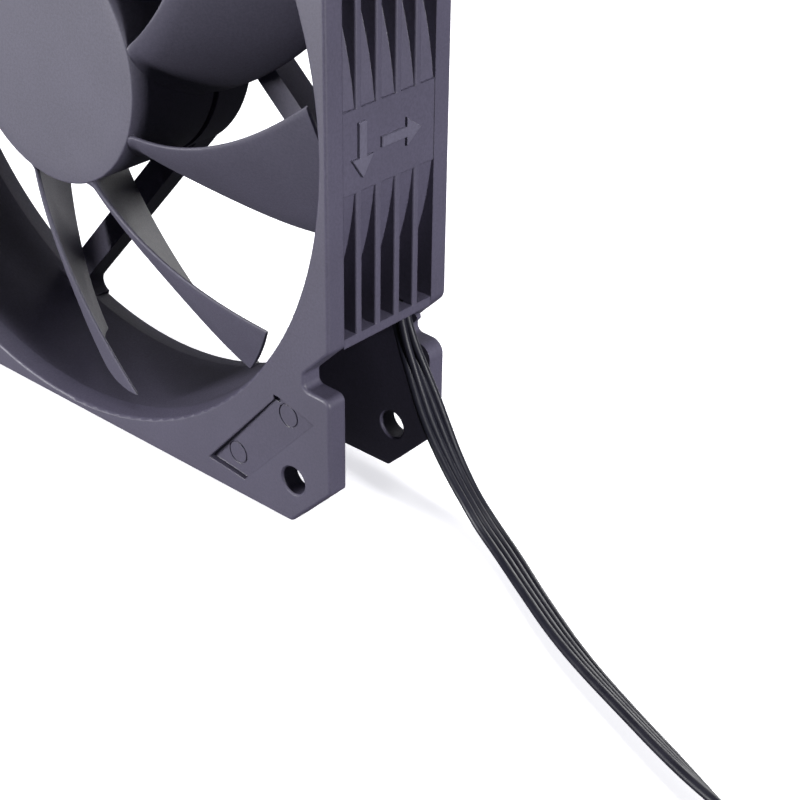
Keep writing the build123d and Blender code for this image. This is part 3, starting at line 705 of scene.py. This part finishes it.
def ring_outline(inner, outer, start, end, steps):
    """Arc band between two radii and two angles in degrees, as one closed outline."""
    arc = [math.radians(start + (end - start) * k / steps) for k in range(steps + 1)]
    there = [(outer * math.cos(a), outer * math.sin(a)) for a in arc]
    back = [(inner * math.cos(a), inner * math.sin(a)) for a in reversed(arc)]
    return there + back


def ribbon_plate(name, outlines, height):
    """Thin prisms standing on the rear label, from outlines seen from behind."""
    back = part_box("rear_label")[1].y
    verts, faces = [], []
    for outline in outlines:
        base, count = len(verts), len(outline)
        for level in (-PRINT_SUNK, height):
            verts += [(-x * MM, back + level, y * MM + AXIS_Z) for x, y in outline]
        faces += grid_faces(2, count, base, closed=True)
        half = count // 2
        for top in (0, count):
            for k in range(half - 1):
                faces.append((base + top + k, base + top + k + 1,
                              base + top + count - 2 - k, base + top + count - 1 - k))
    return mesh_object(name, verts, faces)


def build_label_print():
    """Plain rings and three turning arrows printed on the rear label, no lettering."""
    rings = [ring_outline(inner, outer, 0, RING_END, steps) for inner, outer, steps in PRINT_RINGS]
    bands, heads = [], []
    for start in TURN_STARTS:
        end = start + TURN_SWEEP
        bands.append(ring_outline(TURN_INNER, TURN_OUTER, start, end, TURN_STEPS))
        foot, tip = math.radians(end), math.radians(end + HEAD_SWEEP)
        corners = ((HEAD_INNER, foot), (HEAD_OUTER, foot),
                   (HEAD_TIP_OUTER, tip), (HEAD_TIP_INNER, tip))
        heads.append([(radius * math.cos(a), radius * math.sin(a)) for radius, a in corners])
    dress(ribbon_plate("label_print", rings + bands + heads, PRINT_HEIGHT), "root", "label",
          finish="label_ink")


# ------------------------------------------------------------------ materials

# Colour sockets of a mix node, which has others of the same names for other types.
MIX_FACTOR, MIX_A, MIX_B, MIX_RESULT = 0, 6, 7, 2

BEVEL_SAMPLES = 4


class Graph:
    """Small helper that adds and joins shader nodes."""

    def __init__(self, name):
        self.material = bpy.data.materials.new(name)
        self.material.use_nodes = True
        self.tree = self.material.node_tree
        self.shader = self.tree.nodes["Principled BSDF"]

    def node(self, kind, **values):
        made = self.tree.nodes.new(kind)
        for key, value in values.items():
            setattr(made, key, value)
        return made

    def link(self, source, target):
        self.tree.links.new(source, target)

    def coordinates(self):
        return self.node("ShaderNodeTexCoord").outputs["Object"]

    def noise(self, vector, scale, detail=3.0, rough=0.55):
        made = self.node("ShaderNodeTexNoise")
        made.inputs["Scale"].default_value = scale
        made.inputs["Detail"].default_value = detail
        made.inputs["Roughness"].default_value = rough
        self.link(vector, made.inputs["Vector"])
        return made.outputs["Fac"]

    def ramp(self, factor, stops):
        """stops are (position, value or colour)."""
        made = self.node("ShaderNodeValToRGB")
        bar = made.color_ramp
        while len(bar.elements) < len(stops):
            bar.elements.new(0.5)
        for element, (place, value) in zip(bar.elements, stops):
            colour = value if hasattr(value, "__len__") else (value,) * 3
            element.position = place
            element.color = (*colour[:3], 1.0)
        self.link(factor, made.inputs["Fac"])
        return made.outputs["Color"]

    def bump(self, heights, radius=0.0):
        """Chain of bumps (height socket, distance, strength), over rounded edges if a radius."""
        normal = None
        if radius:
            edge = self.node("ShaderNodeBevel", samples=BEVEL_SAMPLES)
            edge.inputs["Radius"].default_value = radius
            normal = edge.outputs["Normal"]
        for height, distance, strength in heights:
            made = self.node("ShaderNodeBump")
            made.inputs["Distance"].default_value = distance
            made.inputs["Strength"].default_value = strength
            self.link(height, made.inputs["Height"])
            if normal is not None:
                self.link(normal, made.inputs["Normal"])
            normal = made.outputs["Normal"]
        if normal is not None:
            self.link(normal, self.shader.inputs["Normal"])

    def spread(self, value, low, high):
        """Nought at low, one at high."""
        made = self.node("ShaderNodeMapRange")
        made.inputs["From Min"].default_value = low
        made.inputs["From Max"].default_value = high
        self.link(value, made.inputs["Value"])
        return made.outputs["Result"]

    def mix(self, kind, first, second, factor=1.0):
        """Blend of two colours; a number stands for a grey, or for a fixed factor."""
        made = self.node("ShaderNodeMix", data_type="RGBA", blend_type=kind)
        made.clamp_factor = True
        for key, value in ((MIX_FACTOR, factor), (MIX_A, first), (MIX_B, second)):
            if isinstance(value, (int, float)):
                fixed = value if key == MIX_FACTOR else (value, value, value, 1.0)
                made.inputs[key].default_value = fixed
            else:
                self.link(value, made.inputs[key])
        return made.outputs[MIX_RESULT]

    def edge_mask(self, radius):
        """One along edges, nought on flats: how far the rounded normal leaves the true one."""
        rounded = self.node("ShaderNodeBevel", samples=BEVEL_SAMPLES)
        rounded.inputs["Radius"].default_value = radius
        true = self.node("ShaderNodeNewGeometry")
        likeness = self.node("ShaderNodeVectorMath", operation="DOT_PRODUCT")
        self.link(rounded.outputs["Normal"], likeness.inputs[0])
        self.link(true.outputs["Normal"], likeness.inputs[1])
        return self.ramp(likeness.outputs["Value"], ((0.86, 1.0), (0.985, 0.0)))

    def base(self, socket):
        self.link(socket, self.shader.inputs["Base Color"])

    def rough(self, socket):
        self.link(socket, self.shader.inputs["Roughness"])


def shade(colour, factor):
    """Colour made darker or lighter."""
    return tuple(min(c * factor, 1.0) for c in colour)


def moulded_plastic(name, colour, rough, grain_scale=2400.0, grain=0.00004, radius=0.00012):
    """Spark-eroded mould texture: even grain, faint clouding, edges rubbed a little smoother and
    painted darker as shade.
    """
    g = Graph(name)
    where = g.coordinates()
    fine = g.noise(where, grain_scale * 2.2, 2.0, 0.5)
    coarse = g.noise(where, grain_scale, 2.0, 0.5)
    cloud = g.noise(where, 60.0, 3.0)
    clouded = g.ramp(cloud, ((0.3, shade(colour, 0.92)), (0.7, shade(colour, 1.08))))
    speckled = g.ramp(coarse, ((0.35, 0.85), (0.65, 1.0)))
    tone = g.mix("MULTIPLY", clouded, speckled)
    edges = g.edge_mask(radius * 2)
    # Painted shade: the colour is made darker along the rounded edges. The smoother finish there
    # is rubbed wear.
    g.base(g.mix("MIX", tone, g.mix("MULTIPLY", tone, 0.85), edges))
    matt = g.ramp(fine, ((0.35, rough - 0.06), (0.65, rough + 0.08)))
    g.rough(g.mix("MIX", matt, rough * 0.72, edges))
    g.bump([(coarse, grain, 0.4), (fine, grain * 0.5, 0.4)], radius)
    return g.material


def metal(name, colour, rough, streak_axis=1, streak=900.0):
    """Turned or drawn metal with fine rings across one axis."""
    g = Graph(name)
    where = g.coordinates()
    spread = g.node("ShaderNodeMapping")
    scale = [40.0, 40.0, 40.0]
    scale[streak_axis] = streak
    spread.inputs["Scale"].default_value = scale
    g.link(where, spread.inputs["Vector"])
    lines = g.noise(spread.outputs["Vector"], 6.0, 3.0)
    tarnish = g.noise(where, 220.0, 3.0)
    g.base(g.ramp(tarnish, ((0.3, shade(colour, 0.8)), (0.7, shade(colour, 1.08)))))
    g.rough(g.ramp(lines, ((0.3, rough - 0.08), (0.7, rough + 0.1))))
    g.shader.inputs["Metallic"].default_value = 1.0
    g.bump([(lines, 0.00001, 0.4)])
    return g.material


def vinyl(name, colour, rough):
    """Wire insulation: slightly glossy, with faint drag lines."""
    g = Graph(name)
    where = g.coordinates()
    cloud = g.noise(where, 300.0, 3.0)
    skin = g.noise(where, 4000.0, 2.0)
    g.base(g.ramp(cloud, ((0.3, shade(colour, 0.85)), (0.7, shade(colour, 1.15)))))
    g.rough(g.ramp(cloud, ((0.3, rough - 0.05), (0.7, rough + 0.08))))
    g.shader.inputs["Specular IOR Level"].default_value = 0.28
    g.bump([(skin, 0.000012, 0.4)])
    return g.material


def windings_copper():
    """Enamelled wire: close turns round each arm, with painted shade in the grooves between them.
    """
    g = Graph("copper")
    where = g.coordinates()
    bands = g.node("ShaderNodeTexWave", bands_direction="Y")
    bands.inputs["Scale"].default_value = 900.0
    bands.inputs["Distortion"].default_value = 0.6
    g.link(where, bands.inputs["Vector"])
    # Painted shade: the troughs of the bands, the grooves between turns, are coloured dark copper.
    g.base(g.ramp(bands.outputs["Fac"], ((0.1, (0.25, 0.09, 0.04)), (0.8, (0.75, 0.34, 0.16)))))
    g.shader.inputs["Metallic"].default_value = 0.85
    g.shader.inputs["Roughness"].default_value = 0.3
    g.bump([(bands.outputs["Fac"], 0.00008, 0.9)])
    return g.material


def circuit_laminate():
    """Solder-masked board with tracks showing through the mask."""
    g = Graph("board")
    where = g.coordinates()
    cells = g.node("ShaderNodeTexVoronoi", feature="DISTANCE_TO_EDGE")
    cells.inputs["Scale"].default_value = 330.0
    g.link(where, cells.inputs["Vector"])
    tracks = g.ramp(cells.outputs["Distance"], ((0.10, 0.0), (0.16, 1.0)))
    g.base(g.ramp(tracks, ((0.2, (0.03, 0.24, 0.09)), (0.8, (0.012, 0.10, 0.04)))))
    g.shader.inputs["Roughness"].default_value = 0.35
    g.bump([(tracks, 0.00003, 0.6)])
    return g.material


def laminations():
    """Edges of thin stacked sheets."""
    g = Graph("lamination")
    where = g.coordinates()
    sheets = g.node("ShaderNodeTexWave", bands_direction="Y")
    sheets.inputs["Scale"].default_value = 640.0
    g.link(where, sheets.inputs["Vector"])
    grime = g.noise(where, 500.0, 3.0)
    g.base(g.ramp(grime, ((0.3, (0.26, 0.26, 0.28)), (0.7, (0.42, 0.42, 0.44)))))
    g.shader.inputs["Metallic"].default_value = 1.0
    g.shader.inputs["Roughness"].default_value = 0.4
    g.bump([(sheets.outputs["Fac"], 0.00006, 0.8)])
    return g.material


def make_materials():
    """One material for each slot of the record, and two more for marks and print."""
    return {
        "frame_plastic": moulded_plastic("frame_plastic", (0.068, 0.062, 0.098), 0.52,
                                         radius=0.0002),
        "impeller_plastic": moulded_plastic("impeller_plastic", (0.076, 0.071, 0.106), 0.58),
        # Lighter copy of the frame plastic for the arrow marks: painted highlight.
        "lit_raised_mark": moulded_plastic("lit_raised_mark", (0.100, 0.094, 0.136), 0.42,
                                       grain=0.000015),
        "steel": metal("steel", (0.56, 0.56, 0.57), 0.3),
        "magnet": moulded_plastic("magnet", (0.05, 0.045, 0.045), 0.6),
        "nylon": moulded_plastic("nylon", (0.8, 0.79, 0.74), 0.4),
        "brass": metal("brass", (0.78, 0.6, 0.3), 0.25),
        "bronze": metal("bronze", (0.6, 0.42, 0.24), 0.45),
        "lamination": laminations(),
        "bobbin": moulded_plastic("bobbin", (0.82, 0.82, 0.78), 0.45),
        "copper": windings_copper(),
        "board": circuit_laminate(),
        "chip": moulded_plastic("chip", (0.03, 0.03, 0.03), 0.5, grain_scale=9000.0),
        "capacitor_can": metal("capacitor_can", (0.75, 0.76, 0.78), 0.25),
        "label": moulded_plastic("label", (0.035, 0.035, 0.040), 0.32, grain=0.000008),
        "label_ink": moulded_plastic("label_ink", (0.62, 0.62, 0.64), 0.4, grain=0.000005),
        "wire": vinyl("wire", (0.010, 0.010, 0.017), 0.42),
        "grommet": vinyl("grommet", (0.025, 0.025, 0.028), 0.55),
        "tie": vinyl("tie", (0.04, 0.04, 0.042), 0.4),
        "plug_plastic": moulded_plastic("plug_plastic", (0.03, 0.03, 0.032), 0.42),
        "contact": metal("contact", (0.75, 0.7, 0.55), 0.25),
    }


def dress_nodes():
    """Gives every carried-over CAD node the material of its slot."""
    for part in frame["record"]["subparts"]:
        node = frame["nodes"][part["node"]]
        node.data.materials.clear()
        node.data.materials.append(materials[part["material_slot"]])


# ------------------------------------------------------------------ floor and backdrop

FLOOR_REACH = 6
GLOW_NEAR, GLOW_FAR = 0.3, 1.6
BACKDROP_REACH, BACKDROP_SEGMENTS, BACKDROP_RINGS = 5.0, 48, 12


def make_floor():
    """Pale floor that glows a little, so that shadows on it stay light and it fades to white."""
    g = Graph("floor")
    where = g.coordinates()
    cloud = g.noise(where, 3.0, 2.0)
    g.base(g.ramp(cloud, ((0.3, (0.90, 0.90, 0.92)), (0.7, (0.92, 0.92, 0.94)))))
    g.shader.inputs["Roughness"].default_value = 0.6
    away = g.node("ShaderNodeVectorMath", operation="LENGTH")
    g.link(where, away.inputs[0])
    glow = g.ramp(g.spread(away.outputs["Value"], GLOW_NEAR, GLOW_FAR),
                  ((0.0, (0.70, 0.70, 0.73)), (1.0, (1.0, 1.0, 1.0))))
    g.link(glow, g.shader.inputs["Emission Color"])
    g.shader.inputs["Emission Strength"].default_value = 1.0
    far = FLOOR_REACH
    floor = mesh_object("floor", [(-far, -far, 0), (far, -far, 0), (far, far, 0), (-far, far, 0)],
                        [(0, 1, 2, 3)])
    floor.data.materials.append(g.material)
    floor.visible_diffuse = False
    floor.visible_glossy = False


def make_backdrop():
    """White dome over the floor, seen behind the object but shining no light on it."""
    g = Graph("backdrop")
    g.shader.inputs["Base Color"].default_value = (0.0, 0.0, 0.0, 1.0)
    g.shader.inputs["Roughness"].default_value = 1.0
    g.shader.inputs["Emission Color"].default_value = (1.0, 1.0, 1.0, 1.0)
    g.shader.inputs["Emission Strength"].default_value = 1.0
    verts = []
    for k in range(BACKDROP_RINGS):
        rise = math.pi / 2 * k / BACKDROP_RINGS
        out, height = BACKDROP_REACH * math.cos(rise), BACKDROP_REACH * math.sin(rise)
        for j in range(BACKDROP_SEGMENTS):
            turn = 2 * math.pi * j / BACKDROP_SEGMENTS
            verts.append((out * math.cos(turn), out * math.sin(turn), height))
    faces = grid_faces(BACKDROP_RINGS, BACKDROP_SEGMENTS, closed=True)
    faces.append(tuple(len(verts) - BACKDROP_SEGMENTS + j for j in range(BACKDROP_SEGMENTS)))
    wall = mesh_object("backdrop", verts, faces)
    wall.data.materials.append(g.material)
    wall.visible_diffuse = False
    wall.visible_glossy = False
    wall.visible_shadow = False


make_camera()
materials = make_materials()
build_lead(build_tie())
dress_nodes()
build_impeller()
build_arrows()
build_label_print()
for number in range(1, WINDING_COUNT + 1):
    build_winding(number)
make_lights()
make_floor()
make_backdrop()
